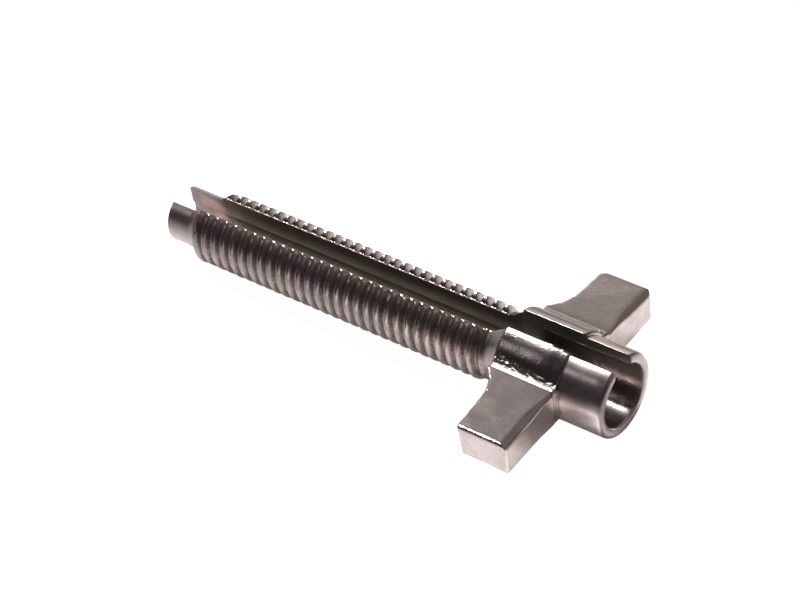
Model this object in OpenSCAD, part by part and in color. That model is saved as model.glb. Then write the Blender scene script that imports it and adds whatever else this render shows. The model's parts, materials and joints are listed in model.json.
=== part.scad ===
// Slotted cable adjusting bolt with two thumb wings, lying on a flat surface with its slot up.
// One piece: a rolled thread with a smooth pilot, a winged boss and a cup for the cable casing.
// Millimetres, +Z up. The bolt's axis runs along X, pilot at -X and cup at +X, wings along Y.

/* [Shank] */
// Length over all, from the end of the pilot to the mouth of the cup
overall_l = 55; // [50:0.5:80]
// Major diameter of the thread
thread_d = 8; // [7.6:0.1:8.6]
// Pitch of the thread
pitch = 1.25; // [1:0.05:1.5]
// Diameter of the smooth pilot
pilot_d = 6; // [5:0.1:6.4]
// Length of the pilot, up to the lead-in cone
pilot_l = 3.3; // [1:0.1:6]
// Length of the lead-in cone between the pilot and the thread
lead_in_l = 1.2; // [0.5:0.1:2]
// Chamfer on the end of the pilot
pilot_chamfer = 0.15; // [0.1:0.05:0.6]
// Diameter of the neck behind the thread, where the cone up to the boss begins
neck_d = 6.6; // [6.4:0.1:7]
// Diameter of that cone where it meets the boss
cone_d = 8.6; // [7.2:0.1:8.8]
// Least length of the neck and the cone, which take up what is left of a pitch
neck_l = 1.5; // [1.2:0.1:4]

/* [Head] */
// Diameter of the boss that carries the wings
boss_d = 9.6; // [9.4:0.1:11]
// Length of the boss
boss_l = 7.4; // [6.5:0.1:10]
// Rounding of the boss's two edges
boss_edge_r = 0.35; // [0.1:0.05:0.4]
// Outer diameter of the cup
cup_d = 8.8; // [8.2:0.1:8.9]
// Length of the cup beyond the boss
cup_l = 4.9; // [3:0.1:8]
// Rounding of the cup's lip, inside and outside
lip_r = 0.4; // [0.1:0.05:0.5]

/* [Wings] */
// Width across the tips of both wings
wing_span = 25.2; // [22:0.1:32]
// Thickness of the wings
wing_t = 3.6; // [2.8:0.1:4.4]
// How far the middle of the wings' thickness lies below the axis
wing_drop = 0.15; // [0:0.05:0.4]
// Width of a wing at its tip
wing_tip_w = 5.5; // [4.5:0.1:6.1]
// How far the wings stand back from the boss's end, towards the cup
wing_setback = 0.2; // [0.1:0.05:0.4]
// Radius of the sweep where a wing widens into the boss
sweep_r = 4.5; // [4:0.1:6]
// Distance from the axis at which the sweep begins
sweep_y = 8.5; // [8:0.1:9]
// Rounding of the upper edges towards the cup, where the thumb pushes
thumb_edge_r = 0.8; // [0.3:0.05:1]
// Rounding of the upper edges at the tips
tip_edge_r = 0.5; // [0.2:0.05:0.8]
// Rounding of the lower edges and of the edges towards the thread
small_edge_r = 0.25; // [0.1:0.05:0.4]
// Rounding of a wing tip's corners, seen from above
corner_r = 0.5; // [0.3:0.05:1.5]
// Fillet in the crease between the wings and the boss
root_fillet_r = 0.6; // [0.2:0.05:1]

/* [Cable path] */
// Width of the slot that lets the cable in from above
slot_w = 2.7; // [1.8:0.1:3]
// Diameter of the bore that the cable runs in
cable_bore_d = 3.1; // [3:0.1:4]
// Diameter of the socket for the cable casing
socket_d = 6.5; // [5:0.1:7]
// Depth of the socket
socket_depth = 10; // [6:0.1:14]

/* [Hidden] */
$fn = 64;

// Margin by which a cut runs past the face that it opens
over = 1;

// Radii, for the profile that is turned about the axis
thread_r = thread_d / 2;
pilot_r = pilot_d / 2;
neck_r = neck_d / 2;
cone_r = cone_d / 2;
boss_r = boss_d / 2;
cup_r = cup_d / 2;
socket_r = socket_d / 2;
cable_bore_r = cable_bore_d / 2;

// Metric thread: 60 degree flanks, a crest flat of an eighth of the pitch and a rolled root
flank_angle = 30;
crest_w = pitch / 8;
thread_depth = 0.6134 * pitch;
root_w = pitch - crest_w - 2 * thread_depth * tan(flank_angle);

// Stations along the axis, from the end of the pilot
thread_x0 = pilot_l + lead_in_l;
boss_x1 = overall_l - cup_l;
boss_x0 = boss_x1 - boss_l;
groove_count = floor((boss_x0 - neck_l - thread_x0 - crest_w) / pitch);
neck_x0 = thread_x0 + groove_count * pitch + crest_w;

// Sides of the wings, whose roots start with the boss
wing_x1 = boss_x1 - wing_setback;
wing_x0 = wing_x1 - wing_tip_w;
wing_l = wing_x1 - boss_x0;
wing_y1 = wing_span / 2;
wing_z1 = wing_t / 2;

// The bolt lies on the first crest of its thread and on the boss's edge, so its axis
// is tipped by the angle of the line that touches both
rest_run = boss_x0 + boss_edge_r - thread_x0;
rest_drop = thread_r - boss_r + boss_edge_r;
rest_tilt = asin(boss_edge_r / norm([rest_run, rest_drop])) - atan2(rest_drop, rest_run);
rest_z = thread_r * cos(rest_tilt) - thread_x0 * sin(rest_tilt);

// Ends of the tipped bolt, which set the middle of its length
slot_edge_z = sqrt(pow(pilot_r - pilot_chamfer, 2) - pow(slot_w / 2, 2));
rest_x0 = -slot_edge_z * sin(rest_tilt);
rest_x1 = (overall_l - lip_r) * cos(rest_tilt) + (cup_r - lip_r) * sin(rest_tilt) + lip_r;
rest_mid_x = (rest_x0 + rest_x1) / 2;

// What a rounding of radius r takes off a square corner at the origin
module corner_waste(r) {
    difference() {
        translate([-over, -over])
            square(r + over);
        translate([r, r])
            circle(r);
    }
}

// Outline of the turned body: radius to the right, axis upwards
module turned_profile() {
    difference() {
        union() {
            polygon([
                [0, 0],
                [pilot_r - pilot_chamfer, 0],
                [pilot_r, pilot_chamfer],
                [pilot_r, pilot_l],
                [thread_r, thread_x0],
                [thread_r, neck_x0],
                [neck_r, neck_x0 + (thread_r - neck_r) * tan(flank_angle)],
                [cone_r, boss_x0],
                [cone_r, boss_x0 + over],
                [0, boss_x0 + over]
            ]);
            translate([0, boss_x0])
                square([boss_r, boss_l]);
            translate([0, boss_x1 - over])
                square([cup_r, cup_l + over]);
        }
        translate([boss_r, boss_x0])
            mirror([1, 0])
                corner_waste(boss_edge_r);
        boss_end_waste();
        translate([cup_r, overall_l])
            rotate(180)
                corner_waste(lip_r);
        thread_grooves();
    }
}

// What the rounding of the boss's edge towards the cup takes off, down to the cup
module boss_end_waste() {
    intersection() {
        translate([boss_r, boss_x1])
            rotate(180)
                corner_waste(boss_edge_r);
        translate([cup_r, boss_x0])
            square([over, boss_l]);
    }
}

// The thread's grooves at their true pitch and section
module thread_grooves() {
    for (i = [0 : groove_count - 1])
        translate([thread_r, thread_x0 + crest_w / 2 + (i + 0.5) * pitch])
            polygon([
                [0, -(pitch - crest_w) / 2],
                [0, (pitch - crest_w) / 2],
                [-thread_depth, root_w / 2],
                [-thread_depth, -root_w / 2]
            ]);
}

// Turned body, with a flat and not a corner of its facets underneath, for it to lie on
module turned_body() {
    rotate([0, 90, 0])
        rotate(180 / $fn)
            rotate_extrude()
                turned_profile();
}

// Bore, casing socket with a rounded mouth, and the slot that opens both along the top
module cable_path() {
    rotate([0, 90, 0])
        rotate_extrude() {
            translate([0, -over])
                square([cable_bore_r, overall_l]);
            translate([0, overall_l - socket_depth])
                square([socket_r, socket_depth + over]);
            translate([socket_r, overall_l])
                mirror([0, 1])
                    corner_waste(lip_r);
        }
    translate([-over, -slot_w / 2, 0])
        cube([overall_l + 2 * over, slot_w, boss_d]);
}

// Section of the wings, seen along the span: the edges towards the cup are rounded
module wing_section() {
    difference() {
        translate([boss_x0, -wing_z1])
            square([wing_l, wing_t]);
        translate([wing_x1, wing_z1])
            rotate(180)
                corner_waste(thumb_edge_r);
        translate([wing_x1, -wing_z1])
            mirror([1, 0])
                corner_waste(small_edge_r);
    }
}

// Face of the wings, seen along the axis: the edges at both tips are rounded
module wing_face() {
    difference() {
        square([wing_span, wing_t], center = true);
        for (side = [0, 1])
            mirror([side, 0]) {
                translate([wing_y1, wing_z1])
                    rotate(180)
                        corner_waste(tip_edge_r);
                translate([wing_y1, -wing_z1])
                    mirror([1, 0])
                        corner_waste(small_edge_r);
            }
    }
}

// Plan of the wings, with the corners of both tips rounded
module wing_plan() {
    difference() {
        translate([boss_x0, -wing_y1])
            square([wing_l, wing_span]);
        for (side = [0, 1])
            mirror([0, side]) {
                translate([wing_x1, wing_y1])
                    rotate(180)
                        corner_waste(corner_r);
                translate([wing_x0, wing_y1])
                    mirror([0, 1])
                        corner_waste(corner_r);
            }
    }
}

// Section of the waste beside a flank, which flares at the top and bottom to round both edges
module flank_waste_section() {
    difference() {
        translate([0, -wing_z1 - over])
            square([sweep_r + small_edge_r, wing_t + 2 * over]);
        translate([sweep_r, -wing_z1])
            difference() {
                square([small_edge_r + over, wing_t]);
                translate([0, wing_t])
                    mirror([0, 1])
                        corner_waste(small_edge_r);
                corner_waste(small_edge_r);
            }
    }
}

// Waste beside the flank towards the thread: straight along the tip, then swept into the boss
module flank_waste() {
    translate([wing_x0 - sweep_r, sweep_y, 0]) {
        rotate([0, 0, 180])
            rotate_extrude(angle = 180)
                flank_waste_section();
        translate([0, wing_span, 0])
            rotate([90, 0, 0])
                linear_extrude(wing_span)
                    flank_waste_section();
    }
}

module wings() {
    translate([0, 0, -wing_drop])
        difference() {
            intersection() {
                rotate([90, 0, 0])
                    linear_extrude(wing_span, center = true)
                        wing_section();
                translate([boss_x0, 0, 0])
                    rotate([90, 0, 90])
                        linear_extrude(wing_l)
                            wing_face();
                linear_extrude(wing_t, center = true)
                    wing_plan();
            }
            for (side = [0, 1])
                mirror([0, side, 0])
                    flank_waste();
        }
}

// Fillet along the crease where a wing's face, at a height above the axis, runs into the boss
module root_fillet(face_z) {
    centre_z = face_z + root_fillet_r;
    centre_y = sqrt(pow(boss_r + root_fillet_r, 2) - pow(centre_z, 2));
    on_boss = [centre_y, centre_z] * boss_r / (boss_r + root_fillet_r);
    translate([boss_x0 + boss_edge_r, 0, 0])
        rotate([90, 0, 90])
            linear_extrude(wing_x1 - thumb_edge_r - boss_x0 - boss_edge_r)
                difference() {
                    polygon([
                        [on_boss[0] - root_fillet_r, 0],
                        [centre_y, 0],
                        [centre_y, centre_z],
                        on_boss,
                        [on_boss[0] - root_fillet_r, on_boss[1]]
                    ]);
                    translate([centre_y, centre_z])
                        circle(root_fillet_r);
                }
}

// The whole bolt on its own axis: X along the axis from the pilot's end, slot up
module bolt() {
    difference() {
        union() {
            turned_body();
            wings();
            for (side = [0, 1])
                mirror([0, side, 0]) {
                    root_fillet(wing_z1 - wing_drop);
                    mirror([0, 0, 1])
                        root_fillet(wing_z1 + wing_drop);
                }
        }
        cable_path();
    }
}

// The bolt as it lies: tipped on to its two contacts, the middle of its length at the origin
module adjusting_bolt() {
    color([0.62, 0.58, 0.57])
        translate([-rest_mid_x, 0, rest_z])
            rotate([0, -rest_tilt, 0])
                bolt();
}

adjusting_bolt();
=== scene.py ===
# %% [markdown]
# # An adjusting bolt, dressed for the camera
# The bolt is one piece of nickel-plated steel: a rolled thread with a smooth pilot, a cast boss
# with two thumb wings, and a turned cup. A slot runs along all of it, so that a cable can be laid
# in from the side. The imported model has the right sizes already. This lesson rebuilds its
# surface with what the solid leaves out: the thread's true helix, the soft corners of a cast and
# plated head, and the finish of the metal.

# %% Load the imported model
import json
import math

import bmesh
import bpy
from mathutils import Matrix, Vector, noise


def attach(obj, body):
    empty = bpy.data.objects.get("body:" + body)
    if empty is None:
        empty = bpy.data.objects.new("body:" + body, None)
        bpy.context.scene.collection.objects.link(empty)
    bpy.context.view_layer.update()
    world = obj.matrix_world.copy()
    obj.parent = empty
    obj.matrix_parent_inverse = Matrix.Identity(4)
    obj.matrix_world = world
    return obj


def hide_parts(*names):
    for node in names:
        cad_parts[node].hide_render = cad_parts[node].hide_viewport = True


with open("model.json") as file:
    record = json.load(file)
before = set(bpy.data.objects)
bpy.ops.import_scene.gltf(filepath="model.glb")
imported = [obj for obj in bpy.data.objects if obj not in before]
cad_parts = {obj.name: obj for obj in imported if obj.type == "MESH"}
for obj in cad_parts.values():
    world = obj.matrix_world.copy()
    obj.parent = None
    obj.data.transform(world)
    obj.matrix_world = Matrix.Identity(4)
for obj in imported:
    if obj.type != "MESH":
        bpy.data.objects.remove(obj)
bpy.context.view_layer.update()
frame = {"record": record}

# %% [markdown]
# ## Where the bolt lies
# All shapes are drawn in the bolt's own frame, in millimetres: X runs along its axis from the end
# of the pilot, and Z points out of the slot. The record's thread mount gives the axis and the
# middle of the thread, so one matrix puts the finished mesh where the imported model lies.

# %% The bolt's own frame
thread_mount = next(m for m in frame["record"]["mounts"] if m["name"] == "thread")
axis_x = -Vector(thread_mount["axis"]).normalized()
thread_middle = 22.703
turn = Matrix.Rotation(-math.asin(axis_x.z), 4, "Y")
pilot_end = Vector(thread_mount["pos_m"]) - axis_x * thread_middle / 1000
bolt_to_world = Matrix.Translation(pilot_end) @ turn @ Matrix.Scale(0.001, 4)
print("end of the pilot, in metres:", [round(c, 5) for c in pilot_end])

# %% [markdown]
# ## The camera
# The camera comes first, because every later choice is judged through it. Its place was found by
# fitting the bolt's outline to the photograph, in the bolt's own frame: how far round, how
# high, how far away, and how much it is rolled about its line of sight.

# %% Camera
cam_round = math.radians(42.163)
cam_high = math.radians(41.657)
cam_roll = math.radians(-8.388)
cam_back = Vector((math.sin(cam_round) * math.cos(cam_high),
                   -math.cos(cam_round) * math.cos(cam_high),
                   math.sin(cam_high)))
level_right = Vector((math.cos(cam_round), math.sin(cam_round), 0))
cam_right = Matrix.Rotation(cam_roll, 3, cam_back) @ level_right
cam_up = cam_back.cross(cam_right)
aim_at = Vector((27, 0, 0))
off_right, off_down, cam_distance = 1.121, 0.232, 236.803
cam_at = aim_at + off_right * cam_right - off_down * cam_up + cam_distance * cam_back

camera = bpy.data.objects.new("camera", bpy.data.cameras.new("camera"))
bpy.context.scene.collection.objects.link(camera)
camera.data.sensor_width = 36
camera.data.lens = 106.339
camera.data.clip_start = 0.01
facing = Matrix((cam_right, cam_up, cam_back)).transposed().to_4x4()
camera.matrix_world = Matrix.Translation(bolt_to_world @ cam_at) @ turn @ facing
bpy.context.scene.camera = camera
print("camera at", [round(c, 4) for c in camera.matrix_world.translation])

# %% [markdown]
# ## Turning with a slot
# The shank, the boss and the cup are turned shapes that the slot cuts open. A Boolean cut would
# leave slivers along the thread. Instead a closed half-section is spun almost all the way
# round the axis. Its points are then slid round the axis until the first and the last section
# lie on the slot's two flat walls, and filling those two sections closes the mesh.
# Angles are counted from the middle of the slot, first down the side that faces the camera.

# %% A helper for slotted turned shapes
slot_half = 1.35
spin_gap = math.radians(20)


def slotted_turning(section, steps, half, pitch=0.0, lead=None, limit=None, crowd=0.0):
    """Spins a closed section of (x, radius) points about X, from one slot wall round to the other.

    half is half the slot's width. pitch is the advance in a full turn, and lead(x, radius) the
    share of it that a point gets. limit(x, angle, arc) is the largest radius at a place, arc
    being its distance from the slot's nearer wall. crowd, up to 1, draws sections to the walls.
    """
    bm = bmesh.new()
    first = [bm.verts.new((x, -r * math.sin(spin_gap), r * math.cos(spin_gap))) for x, r in section]
    loop = [bm.edges.new((a, b)) for a, b in zip(first, first[1:] + first[:1])]
    sweep = math.tau - 2 * spin_gap
    spun = bmesh.ops.spin(bm, geom=first + loop, cent=(0, 0, 0), axis=(1, 0, 0), angle=sweep,
                          dvec=(pitch * sweep / math.tau / steps, 0, 0), steps=steps)
    last = [e for e in spun["geom_last"] if isinstance(e, bmesh.types.BMEdge)]
    for v in bm.verts:
        blank = math.hypot(v.co.y, v.co.z)
        share = ((math.atan2(-v.co.y, v.co.z) % math.tau) - spin_gap) / sweep
        s = v.co.x - pitch * share * sweep / math.tau
        share -= crowd * math.sin(math.tau * share) / math.tau
        r = blank
        gap = math.asin(half / r)
        angle = gap + share * (math.tau - 2 * gap)
        for _ in range(4):
            x = s + (lead(s, blank) if lead else 0) * pitch * (angle / math.tau - 0.5)
            if limit:
                r = min(blank, limit(x, angle, r * min(angle - gap, math.tau - gap - angle)))
            gap = math.asin(half / r)
            angle = gap + share * (math.tau - 2 * gap)
        v.co = (x, -r * math.sin(angle), r * math.cos(angle))
    walls = [bmesh.ops.edgeloop_fill(bm, edges=edges)["faces"][0] for edges in (loop, last)]
    bmesh.ops.recalc_face_normals(bm, faces=bm.faces)
    return bm, walls


def round_edges(bm, edges, offset, segments):
    """Bevels edges with a round profile."""
    bmesh.ops.bevel(bm, geom=edges, offset=offset, offset_type="OFFSET", affect="EDGES",
                    segments=segments, profile=0.5, material=-1, clamp_overlap=True)


def object_from(bm, name):
    """Makes an object of a finished bmesh and frees the bmesh."""
    mesh = bpy.data.meshes.new(name)
    bm.to_mesh(mesh)
    bm.free()
    made = bpy.data.objects.new(name, mesh)
    bpy.context.scene.collection.objects.link(made)
    return made


def measure(piece, unit=1):
    """Prints a piece's triangles, open edges and volume. unit is its unit's length in millimetres."""
    bm = bmesh.new()
    bm.from_mesh(piece.data)
    triangles = sum(len(f.verts) - 2 for f in bm.faces)
    ragged = sum(1 for e in bm.edges if len(e.link_faces) != 2)
    volume = round(bm.calc_volume(signed=True) * unit ** 3, 1)
    print(piece.name, triangles, "triangles,", ragged, "ragged edges,", volume, "cubic mm")
    bm.free()


def eased(value, low, high):
    """0 below low, 1 above high, and a smooth rise between them."""
    t = min(max((value - low) / (high - low), 0), 1)
    return t * t * (3 - 2 * t)


print("slot walls at", -slot_half, "and", slot_half, "mm")

# %% [markdown]
# ## The thread's section
# A rolled metric thread has flanks at 60 degrees to each other and soft crests and roots. Half a
# tooth is written down once, as shares of the pitch and depths, and repeated. The section
# moves one pitch along the axis while it is spun once round, which makes the helix. A Screw
# modifier could do that as well, but it wouldn't end on the slot's flat walls.

# %% One tooth, repeated along the shank
pitch = 1.25
crest_r, root_r = 4.0, 3.233
half_tooth = [(0.0, 0.0), (0.05, 0.012), (0.1, 0.075), (0.24, 0.384),
              (0.37, 0.66), (0.44, 0.75), (0.5, 0.767)]
tooth = [(-u, h) for u, h in half_tooth[:0:-1]] + half_tooth[:-1]
first_crest = 4.7845 - 2 * pitch
crest_count = 33
thread_rows = []
for k in range(crest_count):
    for u, depth in tooth:
        thread_rows.append((first_crest + (k + u) * pitch, crest_r - depth))
print("rows of points along the thread:", len(thread_rows))

# %% [markdown]
# ## The shank
# The pilot and the lead-in cone are a limit on the radius, as a lathe tool that takes the thread's
# crests down would leave them. The far side's lead-in starts later, because the blank wasn't
# quite true. Cutting the slot wiped the ends of the crests over, so they sink almost to the root at
# both walls, and use has worn the rest of them unevenly, by a few hundredths of a millimetre.
# Near the pilot's end and in the neck, the rows of points give up their slant, so that the
# shoulders there lie square to the axis.

# %% Shank
pilot_x0, pilot_r, pilot_l, lead_in_l, chamfer = 0.003, 3.0, 3.3, 1.2, 0.12
far_delay = 1.1
far_land, crest_wipe, wiped_r = 0.27, 0.7, root_r + 0.06
crest_wear, wear_stretch = 0.07, 0.7
near_edge_r, far_edge_r = 0.03, 0.1
bore_r = 1.55
boss_x0, boss_x1 = 42.7, 50.1
neck_x0, neck_r, cone_r = 41.0, 3.3, 4.33
fade_from, fade_to = 40.5, 41.35
straighten_from = 40.2
shank_end = 44.0


def shank_limit(x, angle, arc):
    """Radius of the blank from the pilot to the thread, and of the crests beside the slot."""
    if x < chamfer:
        return pilot_r - chamfer + max(x, 0)
    along = x - pilot_l - far_delay * eased(angle, 0.9 * math.pi, 1.7 * math.pi)
    lead_in = pilot_r + max(along, 0) * (crest_r - pilot_r) / lead_in_l
    land = far_land if angle >= math.pi else 0
    clear = min(max((arc - land) / crest_wipe, 0), 1)
    spot = Vector((wear_stretch * x, crest_r * math.sin(angle), crest_r * math.cos(angle)))
    worn_r = crest_r - crest_wear * (0.5 + 0.5 * noise.noise(spot))
    wiped = wiped_r + (worn_r - wiped_r) * math.sin(clear * math.pi / 2)
    return min(lead_in, wiped + (cone_r - wiped_r) * eased(x, neck_x0 - 0.1, boss_x0))


def shank_lead(s, r):
    """Share of the helix's advance: none at the pilot, in the bore and at the boss."""
    if r < neck_r - 1:
        return 0
    return min(max((s - pilot_l) / lead_in_l, 0), 1) * (1 - eased(s, straighten_from, boss_x0))


def neck_at(s):
    """Radius of the neck and of the cone that rises from it to the boss."""
    return neck_r + (cone_r - neck_r) * min(max((s - neck_x0) / (boss_x0 - neck_x0), 0), 1)


outer = [(pilot_x0, pilot_r - chamfer), (chamfer / 2, pilot_r), (chamfer, pilot_r)]
outer += [(chamfer + (pilot_l - chamfer) * i / 6, pilot_r) for i in range(1, 7)]
for s, r in thread_rows:
    if pilot_l + 0.02 < s < boss_x0 - 0.1:
        outer.append((s, r + (neck_at(s) - r) * eased(s, fade_from, fade_to)))
outer += [(boss_x0, cone_r), (shank_end, cone_r)]
inner = [(shank_end + (pilot_x0 - shank_end) * i / 16, bore_r) for i in range(17)]
shank_bm, shank_walls = slotted_turning(outer + inner, 88, slot_half, pitch, shank_lead, shank_limit,
                                        crowd=0.55)
for wall, edge_r in zip(shank_walls, (near_edge_r, far_edge_r)):
    round_edges(shank_bm, wall.edges[:], edge_r, 2)
shank = object_from(shank_bm, "shank")
measure(shank)

# %% [markdown]
# ## The cup
# The cup is turned smooth, with a rounded lip inside and out. It starts inside the boss, where a
# slightly wider bore keeps its wall out of the way of the boss's own. The lip is drawn in the
# section, which is simpler than to bevel it afterwards.

# %% Cup
cup_r, socket_r, lip_r, cup_edge_r = 4.4, 3.25, 0.4, 0.12
cup_x0, cup_x1 = 48.6, 54.997
socket_x0 = 45.0


def quarter(cx, cr, radius, start, steps=5):
    """Points of a quarter round about (cx, cr), from an angle in degrees."""
    angles = [math.radians(start - 90 * i / steps) for i in range(steps + 1)]
    return [(cx + radius * math.cos(a), cr + radius * math.sin(a)) for a in angles]


section = [(cup_x0 + (cup_x1 - lip_r - cup_x0) * i / 6, cup_r) for i in range(6)]
section += quarter(cup_x1 - lip_r, cup_r - lip_r, lip_r, 90)
section += quarter(cup_x1 - lip_r, socket_r + lip_r, lip_r, 0)
section += [(cup_x1 - lip_r - (cup_x1 - lip_r - cup_x0) * i / 6, socket_r) for i in range(1, 7)]
cup_bm, cup_walls = slotted_turning(section, 96, slot_half)
round_edges(cup_bm, [e for wall in cup_walls for e in wall.edges], cup_edge_r, 3)
cup = object_from(cup_bm, "cup")
measure(cup)

# %% [markdown]
# ## The cast head
# The boss and the wings were cast together, so hardly anything on them is sharp. They are first
# made as plain closed shapes that overlap: a turned boss with the slot in it, and two wings drawn
# in plan and extruded. A voxel remesh then melts them into one skin.

# %% Boss
boss_r, boss_edge_r = 4.79, 0.3
rear_drop, lower_drop, drop_x0 = 0.2, 0.4, 47.4
hair = 0.03


def boss_limit(x, angle, arc):
    """Radius of the boss, which falls away towards the cup on the side that faces the camera."""
    near = 1 - eased(angle, 0.9 * math.pi, 1.2 * math.pi)
    drop = rear_drop + (lower_drop - rear_drop) * eased(angle, 0.4 * math.pi, 0.6 * math.pi)
    return boss_r - drop * near * eased(x, drop_x0, boss_x1 + 0.1)


section = [(boss_x0, bore_r - hair), (boss_x0, cone_r)]
section += [(boss_x0 + boss_edge_r - x, r) for x, r in
            reversed(quarter(0, boss_r - boss_edge_r, boss_edge_r, 90))]
run = boss_x1 - boss_x0 - 2 * boss_edge_r
section += [(boss_x0 + boss_edge_r + run * i / 10, boss_r) for i in range(1, 10)]
section += quarter(boss_x1 - boss_edge_r, boss_r - boss_edge_r, boss_edge_r, 90)
section += [(boss_x1, socket_r - hair), (socket_x0, socket_r - hair), (socket_x0, bore_r - hair)]
boss_bm, _ = slotted_turning(section, 96, slot_half - hair, limit=boss_limit)
head = object_from(boss_bm, "head")
measure(head)

# %% [markdown]
# ## The wings
# A wing is drawn in plan: a straight tip, and a sweep that widens it into the boss. A cube could be
# pulled into shape, but in a plan the sweep is a true arc. It thickens towards the boss, more on
# the side of the thread, as a cast web does. The two tips aren't alike: the far one has its
# corners ground rounder.

# %% Wings
wing_z0, wing_z1 = -1.95, 1.65
wing_x0, wing_ends = 44.4, {1: 50.25, -1: 50.05}
wing_tip_y, wing_root_y, wing_root_x = 12.57, 3.4, 43.0
sweep_r, sweep_y = 4.5, 8.5
sweep_turn = math.radians(50.5)
top_slope, thread_slope, under_share = 0.065, 0.012, 0.3
cut_count, cut_gap = 16, 0.2


def root_rise(x, y):
    """How much higher a wing's upper face lies towards the boss, most on the side of the thread."""
    return (top_slope + thread_slope * (1 - eased(x, 43.5, boss_x1))) * (wing_tip_y - y)


def bevel_where(bm, test, offset, segments):
    """Rounds the edges whose middle passes a test."""
    edges = [e for e in bm.edges if test((e.verts[0].co + e.verts[1].co) / 2)]
    round_edges(bm, edges, offset, segments)


def wing(side, thread_corner, cup_corner):
    """One wing, to +Y for side 1 or -Y for side -1, with the roundings of its tip's two corners."""
    wing_x1 = wing_ends[side]
    bm = bmesh.new()
    sweep_from = bm.verts.new((wing_x0, sweep_y, wing_z0))
    swept = bmesh.ops.spin(bm, geom=[sweep_from], cent=(wing_x0 - sweep_r, sweep_y, 0), axis=(0, 0, 1),
                           angle=-sweep_turn, steps=12)
    sweep_to = next(v for v in swept["geom_last"] if isinstance(v, bmesh.types.BMVert))
    plan = [(wing_root_x, wing_root_y), (wing_x1, wing_root_y), (wing_x1, wing_tip_y),
            (wing_x0, wing_tip_y)]
    chain = [sweep_to] + [bm.verts.new((x, y, wing_z0)) for x, y in plan] + [sweep_from]
    for a, b in zip(chain, chain[1:]):
        bm.edges.new((a, b))
    under = bmesh.ops.edgeloop_fill(bm, edges=bm.edges)["faces"][0]
    raised = bmesh.ops.extrude_face_region(bm, geom=[under])
    bmesh.ops.translate(bm, vec=(0, 0, wing_z1 - wing_z0),
                        verts=[v for v in raised["geom"] if isinstance(v, bmesh.types.BMVert)])
    middle_z = (wing_z0 + wing_z1) / 2
    for corner_x, rounding in ((wing_x0, thread_corner), (wing_x1, cup_corner)):
        bevel_where(bm, lambda m: m.y > wing_tip_y - 0.01 and abs(m.z - middle_z) < 0.01
                    and abs(m.x - corner_x) < 0.01, rounding, 6)
    for i in range(cut_count):
        bmesh.ops.bisect_plane(bm, geom=bm.verts[:] + bm.edges[:] + bm.faces[:],
                               plane_co=(0, wing_root_y + cut_gap * (i + 0.5), 0), plane_no=(0, 1, 0))
    for v in bm.verts:
        v.co.z += root_rise(v.co.x, v.co.y) * (1 if v.co.z > middle_z else -under_share)
    bmesh.ops.scale(bm, vec=(1, side, 1), verts=bm.verts)
    bmesh.ops.recalc_face_normals(bm, faces=bm.faces)
    return object_from(bm, "wing")


bm = bmesh.new()
bm.from_mesh(head.data)
for made in (wing(1, 1.0, 0.75), wing(-1, 0.25, 0.25)):
    bm.from_mesh(made.data)
    bpy.data.objects.remove(made)
bm.to_mesh(head.data)
bm.free()
measure(head)

# %% [markdown]
# ## Melting the head into one skin
# A Boolean union would leave a hard line where a wing meets the boss. The Remesh modifier samples
# the overlapping shapes on a fine grid instead, and lays one closed skin over them.

# %% Remesh
voxel = 0.12


def apply_modifiers(piece):
    """Replaces a piece's mesh by what its modifiers make of it."""
    graph = bpy.context.evaluated_depsgraph_get()
    made = bpy.data.meshes.new_from_object(piece.evaluated_get(graph))
    piece.modifiers.clear()
    piece.data = made


melt = head.modifiers.new("melt", "REMESH")
melt.mode = "VOXEL"
melt.voxel_size = voxel
apply_modifiers(head)
measure(head)

# %% [markdown]
# ## Rounds that change along an edge
# The wings are softest where the thumb pushes, on the upper edge towards the cup, and almost sharp
# towards the thread. A bevel gives an edge one radius, so points near an edge are drawn on to a
# round of their own here. The wings then lean a little, as a mould's draft makes them, flare
# towards the boss, and are smoothed.

# %% Round, draft and smooth the wings
root_round, thumb_extra, tip_round, under_round = 0.3, 0.5, 0.24, 0.2
draft, root_flare = 0.27, 0.15


def drawn_round(across, up, edge_across, edge_up, radius):
    """Moves a point outside the round on an edge on to it. Both directions point outwards."""
    from_across, from_up = across - (edge_across - radius), up - (edge_up - radius)
    reach = math.hypot(from_across, from_up)
    if from_across <= 0 or from_up <= 0 or reach <= radius:
        return across, up
    return (edge_across - radius + from_across * radius / reach,
            edge_up - radius + from_up * radius / reach)


bm = bmesh.new()
bm.from_mesh(head.data)
for v in bm.verts:
    x, y, z = v.co.x, abs(v.co.y), v.co.z
    if y < boss_r:
        continue
    wing_x1 = wing_ends[1 if v.co.y > 0 else -1]
    top = wing_z1 + root_rise(x, y)
    x, z = drawn_round(x, z, wing_x1, top, root_round + thumb_extra * eased(y, 5.2, 8.5))
    y, z = drawn_round(y, z, wing_tip_y, top, tip_round)
    y, low = drawn_round(y, -z, wing_tip_y, -wing_z0, under_round)
    x, low = drawn_round(x, low, wing_x1, -wing_z0, under_round)
    z = -low
    to_thread = (wing_x1 - x) / (wing_x1 - wing_x0)
    x += draft * min(max(to_thread, 0), 1) * (wing_z1 - z) / (wing_z1 - wing_z0) * eased(y, 4.9, 6)
    x += root_flare * (1 - eased(y, 4.9, 7.5)) * min(max(1 - to_thread, 0), 1)
    v.co = (x, math.copysign(y, v.co.y), z)
for _ in range(3):
    bmesh.ops.smooth_vert(bm, verts=bm.verts, factor=0.5,
                          use_axis_x=True, use_axis_y=True, use_axis_z=True)
bm.to_mesh(head.data)
bm.free()
measure(head)

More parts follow.
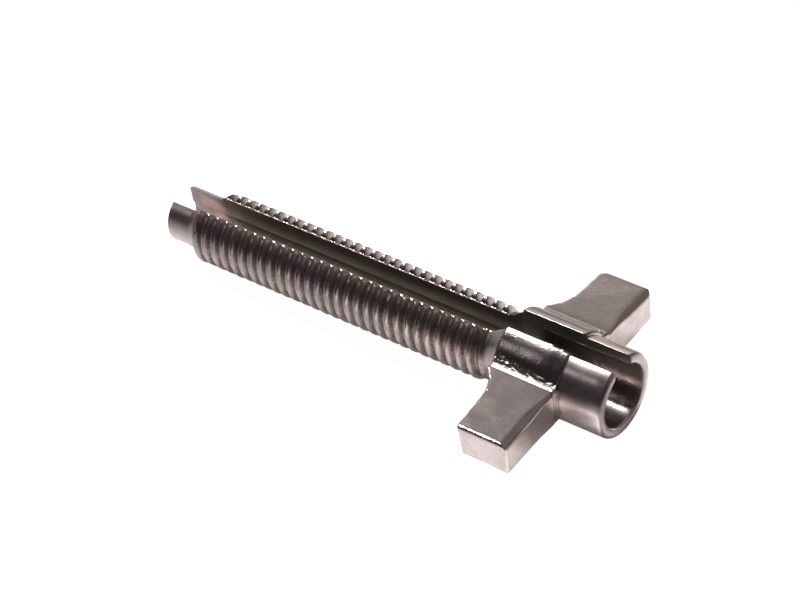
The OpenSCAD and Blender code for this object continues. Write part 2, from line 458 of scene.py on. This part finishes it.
# %% [markdown]
# ## A lumpy plating
# Thick plating on a cast face is never flat. Each outer point is moved in by a little noise, made of
# wide soft lumps and small ones, both strongest on the boss. In the crease between the boss and
# a wing, where the plating pools, the lumps are deepest and go both ways, and they catch the
# light as sparks. A Displace modifier could do it too, but not with a rule for each place.

# %% Roughen the head
crease_x0, crease_l = 43.4, 6.6
crease_z0, crease_z1 = 2.75, 2.25
wide_depth, wide_on_boss = 0.008, 0.012
small_depth, small_on_boss = 0.004, 0.004
spark_depth = 0.12


def crease_share(co):
    """1 in the crease above a wing's root, falling to 0 a little way off."""
    along = min(max((co.x - crease_x0) / crease_l, 0), 1)
    crease_z = crease_z0 + (crease_z1 - crease_z0) * along
    crease_y = math.sqrt(boss_r ** 2 - crease_z ** 2)
    away = math.hypot(co.z - crease_z, abs(co.y) - crease_y)
    return 1 - eased(away, 0.1, 0.55)


bm = bmesh.new()
bm.from_mesh(head.data)
bm.normal_update()
for v in bm.verts:
    on_slot_wall = abs(v.co.y) < slot_half + 0.2 and abs(v.normal.y) > 0.7
    within_socket = math.hypot(v.co.y, v.co.z) < socket_r + 0.3
    if on_slot_wall or within_socket:
        continue
    boss_share = 1 - eased(abs(v.co.y), 4.4, 5.4)
    wide = 0.5 + 0.5 * noise.noise(v.co * 0.9)
    small = 0.5 + 0.5 * noise.noise(v.co * 2.6)
    spark = noise.noise(v.co * 3.8) * crease_share(v.co)
    depth = (wide_depth + wide_on_boss * boss_share) * wide
    depth += (small_depth + small_on_boss * boss_share) * small
    v.co -= v.normal * (depth + spark_depth * spark)
bm.to_mesh(head.data)
bm.free()
measure(head)

# %% [markdown]
# ## One piece
# The real bolt is one piece, so the three closed meshes become one. Left as three, they would keep
# walls inside the metal. An exact union is safe here, because no face of one lies in a face of
# another.

# %% Join the three
sharp_angle = math.radians(40)
for part in (shank, cup):
    union = head.modifiers.new("union", "BOOLEAN")
    union.operation = "UNION"
    union.solver = "EXACT"
    union.object = part
apply_modifiers(head)
for part in (shank, cup):
    bpy.data.objects.remove(part)
bolt = head
bolt.name = "adjusting_bolt_dressed"
bolt.data.name = bolt.name
bolt.data.transform(bolt_to_world)
bolt.data.shade_smooth()
bolt.data.set_sharp_from_angle(angle=sharp_angle)
measure(bolt, 1000)

# %% [markdown]
# ## Nickel plate
# Nickel is a slightly warm, pinkish grey metal, and its finish changes from place to place on the bolt.
# An unwrapped texture would need seams across the thread. Here the material works from object
# coordinates instead, and a Mapping node first brings them into the bolt's own frame, in
# millimetres, where every place is a distance along the axis and a distance from it.

# %% Material
metal = bpy.data.materials.new("nickel_plate")
metal.use_nodes = True
tree = metal.node_tree
shader = tree.nodes["Principled BSDF"]
shader.inputs["Metallic"].default_value = 1.0


def fill(made, inputs):
    """Gives a node's inputs, in order or by name, a link or a value, and returns its first output."""
    named = inputs.items() if isinstance(inputs, dict) else enumerate(inputs)
    for key, given in named:
        if isinstance(given, bpy.types.NodeSocket):
            made.id_data.links.new(given, made.inputs[key])
        else:
            made.inputs[key].default_value = given
    return made.outputs[0]


def calc(tree, operation, *inputs):
    """A Math node."""
    made = tree.nodes.new("ShaderNodeMath")
    made.operation = operation
    return fill(made, inputs)


def product(tree, first, *others):
    """The product of values, such as the overlap of masks."""
    for other in others:
        first = calc(tree, "MULTIPLY", first, other)
    return first


def rise(tree, value, low, high, from_value=0.0, to_value=1.0):
    """A smooth step from one value to another, as value goes from low to high."""
    made = tree.nodes.new("ShaderNodeMapRange")
    made.interpolation_type = "SMOOTHSTEP"
    return fill(made, (value, low, high, from_value, to_value))


def fall(tree, value, low, high):
    """A smooth step from 1 down to 0."""
    return rise(tree, value, low, high, 1.0, 0.0)


def grain(tree, place, scale, detail):
    """A noise pattern with so many lumps to a millimetre, between 0 and 1."""
    return fill(tree.nodes.new("ShaderNodeTexNoise"), {"Vector": place, "Scale": scale, "Detail": detail})


def blended(tree, share, first, second):
    """A mix of two colours."""
    made = tree.nodes.new("ShaderNodeMix")
    made.data_type = "RGBA"
    fill(made, {0: share, 6: first, 7: second})
    return made.outputs[2]


lying_tilt = math.asin(axis_x.z)
spin_back = Matrix.Rotation(lying_tilt, 3, "Y")
mapping = tree.nodes.new("ShaderNodeMapping")
mapping.inputs["Location"].default_value = spin_back @ pilot_end * -1000
mapping.inputs["Rotation"].default_value = (0, lying_tilt, 0)
mapping.inputs["Scale"].default_value = (1000, 1000, 1000)
place = fill(mapping, {"Vector": tree.nodes.new("ShaderNodeTexCoord").outputs["Object"]})
apart = tree.nodes.new("ShaderNodeSeparateXYZ")
fill(apart, [place])
along, sideways, upwards = apart.outputs
radius_squared = calc(tree, "ADD", product(tree, sideways, sideways), product(tree, upwards, upwards))
radius = calc(tree, "SQRT", radius_squared)
span = calc(tree, "ABSOLUTE", sideways)
print("bolt's frame for the pattern: turned back by", round(math.degrees(lying_tilt), 3), "degrees")

# %% [markdown]
# ## Where each finish lies
# A mask is a value that is 1 where a finish lies and 0 elsewhere. Painting them by hand would tie them
# to one mesh. Smooth steps on the coordinates follow the real shapes: the roots of the thread, the
# slot with its bore and socket, the boss, the wings, and the crease between boss and wing.

# %% Masks
on_thread = product(tree, rise(tree, along, 4.0, 4.8), fall(tree, along, 40.6, 41.6))
above_slot_floor = rise(tree, upwards, -1.8, -1.5)
in_bore = fall(tree, radius, 1.6, 1.75)
in_socket = product(tree, fall(tree, radius, 3.3, 3.4), rise(tree, along, 44.5, 45.0),
                    rise(tree, upwards, -1.6, -0.4))
in_slot = product(tree, fall(tree, span, 1.36, 1.42), above_slot_floor)
in_slot = calc(tree, "MAXIMUM", in_slot, calc(tree, "MAXIMUM", in_bore, in_socket))
# Where the roots get less of their painted shade and grime: beside the slot and on the far side.
root_shade_spared = product(tree, fall(tree, span, 1.6, 1.9), above_slot_floor)
root_shade_spared = calc(tree, "MAXIMUM", root_shade_spared, rise(tree, sideways, 0.5, 1.5, 0.0, 0.75))
in_root = product(tree, on_thread, fall(tree, radius, 3.42, 3.96),
                  calc(tree, "SUBTRACT", 1.0, root_shade_spared))
on_head = product(tree, rise(tree, along, 42.4, 42.8), fall(tree, along, 50.0, 50.3),
                  rise(tree, radius, 4.0, 4.4))
on_wing = product(tree, on_head, rise(tree, span, 4.6, 6.0))
on_boss = calc(tree, "SUBTRACT", on_head, on_wing)
on_turned = calc(tree, "SUBTRACT", calc(tree, "SUBTRACT", 1.0, on_head), on_thread)
in_crease = product(tree, rise(tree, span, 3.8, 4.1), fall(tree, span, 4.4, 4.8), on_head,
                    rise(tree, upwards, 1.2, 1.6))
on_tip = product(tree, on_wing, rise(tree, span, 12.0, 12.3), 0.3)
sparkling = calc(tree, "MAXIMUM", in_crease, on_tip)
print("nodes for the masks and their coordinates:", len(tree.nodes))

# %% [markdown]
# ## Colour
# The plating is cloudy. The roots of the thread are darkened, partly by grime and thin plating and partly
# by painted shade, less on the far side and beside the slot. Past the pilot, the slot, the bore and the
# socket are painted dark as shade, the boss is painted partly so, and the wings have a faint random
# mottle. The plating is one coat, so one material blends all of this by the masks, where several
# materials would show seams.

# %% Colour
nickel = (0.76, 0.645, 0.63, 1)
cloudy = (0.64, 0.535, 0.515, 1)
root_shade_and_dirt_colour = (0.17, 0.12, 0.11, 1)
painted_shade_and_mottle = (0.27, 0.245, 0.222, 1)
clouds = grain(tree, place, 0.45, 3.0)
specks = grain(tree, place, 4.0, 2.0)
mottle = rise(tree, grain(tree, place, 3.2, 3.0), 0.3, 0.7, 0.0, 0.2)
# Painted shade in the thread's roots, partly grime: a dark brown blended in towards the root, in specks.
root_shade_and_dirt = product(tree, in_root, rise(tree, specks, 0.2, 0.65, 0.25, 0.75))
tint = blended(tree, rise(tree, clouds, 0.35, 0.7), nickel, cloudy)
# Painted shade: the slot, bore and socket past the pilot, and part of the boss, are blended towards a
# dark tone. The wings get a random mottle of the same tone.
for share in (product(tree, in_slot, rise(tree, along, 3.6, 5.0)), product(tree, on_boss, 0.55),
              product(tree, on_wing, mottle)):
    tint = blended(tree, share, tint, painted_shade_and_mottle)
tree.links.new(blended(tree, root_shade_and_dirt, tint, root_shade_and_dirt_colour), shader.inputs["Base Color"])
print("nodes with the colour:", len(tree.nodes))

# %% [markdown]
# ## Roughness and bump
# The turned pilot and cup are a little rougher than the rest, and the darkened roots and the slot much
# more. The turned faces have faint rings from the lathe, and the cast head has the grain of orange peel,
# strongest on the boss. In the crease and at the tips it is deep enough to sparkle. These grains
# are too fine to model, so a Bump node tilts the normals instead.

# %% Roughness and bump
rough = rise(tree, clouds, 0.3, 0.7, 0.15, 0.22)
for change in (product(tree, on_boss, 0.01), product(tree, on_wing, -0.03),
               rise(tree, along, 50.0, 50.2, 0.0, 0.07), rise(tree, along, 3.6, 4.4, 0.1, 0.0),
               product(tree, calc(tree, "MAXIMUM", root_shade_and_dirt, in_slot), 0.3)):
    rough = calc(tree, "ADD", rough, change)
tree.links.new(rough, shader.inputs["Roughness"])

rings = fill(tree.nodes.new("ShaderNodeCombineXYZ"), [along, product(tree, radius, 0.5), 0.0])
height = product(tree, grain(tree, rings, 14.0, 2.0), product(tree, on_turned, 0.0012))
for mask, scale, detail, depth in ((on_boss, 6.0, 2.5, 0.014), (on_wing, 4.5, 2.5, 0.007),
                                   (on_thread, 5.0, 2.0, 0.006), (sparkling, 5.4, 2.0, 0.11)):
    lumps = grain(tree, place, scale, detail)
    height = calc(tree, "ADD", height, product(tree, lumps, product(tree, mask, depth)))
bump = tree.nodes.new("ShaderNodeBump")
bump.inputs["Distance"].default_value = 0.001
tree.links.new(height, bump.inputs["Height"])
tree.links.new(bump.outputs["Normal"], shader.inputs["Normal"])
bolt.data.materials.clear()
bolt.data.materials.append(metal)
print("nodes in the metal:", len(tree.nodes))

# %% [markdown]
# ## The floor
# Polished metal shows what lies round it, so the floor is half of the bolt's look. It is paper that is
# really lit, and a painted pool of light in its colour makes it white under the bolt and behind it, and
# darker grey farther off, as paper is at the edge of a lamp's light. The bolt's shadow is left on it, and
# the metal mirrors that too. It has a painted glow, seen only by mirrored rays, along the thread and
# round the wings, where a studio would lay white card, and for the camera it glows until it is white.

# %% Floor
bm = bmesh.new()
bmesh.ops.create_grid(bm, x_segments=1, y_segments=1, size=1.5)
floor = object_from(bm, "floor")
paper = bpy.data.materials.new("white_paper")
paper.use_nodes = True
tree = paper.node_tree
tree.nodes.clear()
out = tree.nodes.new("ShaderNodeOutputMaterial")
apart = tree.nodes.new("ShaderNodeSeparateXYZ")
fill(apart, [tree.nodes.new("ShaderNodeTexCoord").outputs["Object"]])


def outside(value, middle, half):
    """How far a coordinate lies outside a span."""
    from_middle = calc(tree, "ABSOLUTE", calc(tree, "SUBTRACT", value, middle))
    return calc(tree, "MAXIMUM", calc(tree, "SUBTRACT", from_middle, half), 0.0)


def away_from(middle_x, half_x, middle_y, half_y):
    """Distance from a rectangle on the floor, in metres."""
    dx = outside(apart.outputs[0], middle_x, half_x)
    dy = outside(apart.outputs[1], middle_y, half_y)
    return calc(tree, "SQRT", calc(tree, "ADD", product(tree, dx, dx), product(tree, dy, dy)))


def patch_of_floor(reach, *rectangles):
    """1 on some rectangles of the floor, and falling off round them over a reach in metres."""
    away = away_from(*rectangles[0])
    for rectangle in rectangles[1:]:
        away = calc(tree, "MINIMUM", away, away_from(*rectangle))
    return calc(tree, "EXPONENT", product(tree, away, -1 / reach))


# A painted pool of light: the paper's colour is bright near and behind the bolt and dim farther off.
painted_light_pool = patch_of_floor(0.009, (0.0, 0.03, 0.0085, 0.0115), (0.02, 0.007, -0.008, 0.009))
paper_past_painted_pool = (0.26, 0.26, 0.26, 1)
paper_in_painted_pool = (0.95, 0.95, 0.95, 1)
painted_pool_tint = blended(tree, painted_light_pool, paper_past_painted_pool, paper_in_painted_pool)
lit = fill(tree.nodes.new("ShaderNodeBsdfDiffuse"), {"Color": painted_pool_tint})
print("nodes in the lit paper:", len(tree.nodes))

# %% Painted glow for mirrors, and camera white
camera_white = 0.92
# Painted glow, seen only in the metal's reflections: patches of floor where a studio would lay white
# card.
by_thread = patch_of_floor(0.006, (-0.006, 0.016, 0.0, 0.003))
by_wings = patch_of_floor(0.0022, (0.0185, 0.0055, -0.0155, 0.003), (0.0275, 0.003, 0.0125, 0.005))
by_near_flank = patch_of_floor(0.0014, (0.028, 0.003, -0.0115, 0.004))
painted_mirror_glow = 0.04
for patch, strength in ((by_thread, 0.12), (by_wings, 0.36), (by_near_flank, 0.75)):
    painted_mirror_glow = calc(tree, "MULTIPLY_ADD", patch, strength, painted_mirror_glow)
path = tree.nodes.new("ShaderNodeLightPath")
mirrored = calc(tree, "MAXIMUM", path.outputs["Is Glossy Ray"], path.outputs["Is Transmission Ray"])
level = product(tree, path.outputs["Is Camera Ray"], camera_white)
level = calc(tree, "MAXIMUM", level, product(tree, mirrored, painted_mirror_glow))
glow = fill(tree.nodes.new("ShaderNodeEmission"), {"Strength": level})
tree.links.new(fill(tree.nodes.new("ShaderNodeAddShader"), [lit, glow]), out.inputs["Surface"])
floor.data.materials.append(paper)
print("floor", [round(d, 2) for d in floor.dimensions], "m")

# %% [markdown]
# ## The room
# A dark room would leave the metal black. Three soft bright patches stand in for pale walls: a wide
# one behind the thread, a low one near the horizon, which lights the far edge of the slot, and a
# faint one on the other side for the edges of the wings. An image of a real room would do it
# too, but a few smooth steps are easier to move about, and need no file.

# %% World
world = bpy.data.worlds.new("studio")
bpy.context.scene.world = world
world.use_nodes = True
tree = world.node_tree
sky = tree.nodes.new("ShaderNodeTexCoord").outputs["Generated"]


def patch_of_sky(direction, low, high, strength):
    """A soft bright patch of the world. low and high are the cosines where it begins and is full."""
    towards = tree.nodes.new("ShaderNodeVectorMath")
    towards.operation = "DOT_PRODUCT"
    fill(towards, [sky, Vector(direction).normalized()])
    return rise(tree, towards.outputs["Value"], low, high, 0.0, strength)


room = 0.03
for direction, low, high, strength in (((-0.75, 0.6, 0.28), 0.5, 0.9, 0.27),
                                       ((-0.6, 0.8, 0.02), 0.79, 0.97, 0.65),
                                       ((0.55, 0.5, 0.67), 0.55, 0.95, 0.15)):
    room = calc(tree, "ADD", room, patch_of_sky(direction, low, high, strength))
fill(tree.nodes["Background"], {"Color": (1.0, 0.97, 0.95, 1), "Strength": room})
print("nodes in the world:", len(tree.nodes))

# %% [markdown]
# ## Two lamps
# One narrow strong lamp overhead makes the white streaks along the boss and the cup. A faint one to
# the left adds a second, softer streak below them, as the edge of a window would. Both are
# area lamps, because a point lamp would show in the metal as a small hard dot.

# %% Lamps
centre = bolt_to_world @ Vector((30, 0, 0))
lamp_distance = 0.6


def softbox(name, direction, width, length, radiance):
    """A lamp that faces the bolt from a direction in the bolt's own frame, its length along the bolt."""
    lamp = bpy.data.lights.new(name, "AREA")
    lamp.shape = "RECTANGLE"
    lamp.size = width
    lamp.size_y = length
    lamp.energy = radiance * math.pi * width * length
    made = bpy.data.objects.new(name, lamp)
    bpy.context.scene.collection.objects.link(made)
    aim = (turn.to_3x3() @ Vector(direction)).normalized()
    facing_bolt = aim.to_track_quat("Z", "Y").to_matrix().to_4x4()
    made.matrix_world = Matrix.Translation(centre + aim * lamp_distance) @ facing_bolt
    print(name, "lamp:", round(lamp.energy, 3), "W")


softbox("key", (-0.5, 0.12, 0.856), 0.12, 0.26, 28.0)
softbox("left", (-0.5, -0.51, 0.70), 0.11, 0.11, 1.3)
bpy.context.scene.view_settings.view_transform = "Standard"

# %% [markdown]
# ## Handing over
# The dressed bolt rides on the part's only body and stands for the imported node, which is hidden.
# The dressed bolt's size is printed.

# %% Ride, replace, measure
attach(bolt, "root")
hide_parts("adjusting_bolt")
bpy.context.view_layer.update()
print("dressed bolt:", [round(d * 1000, 2) for d in bolt.dimensions], "mm")
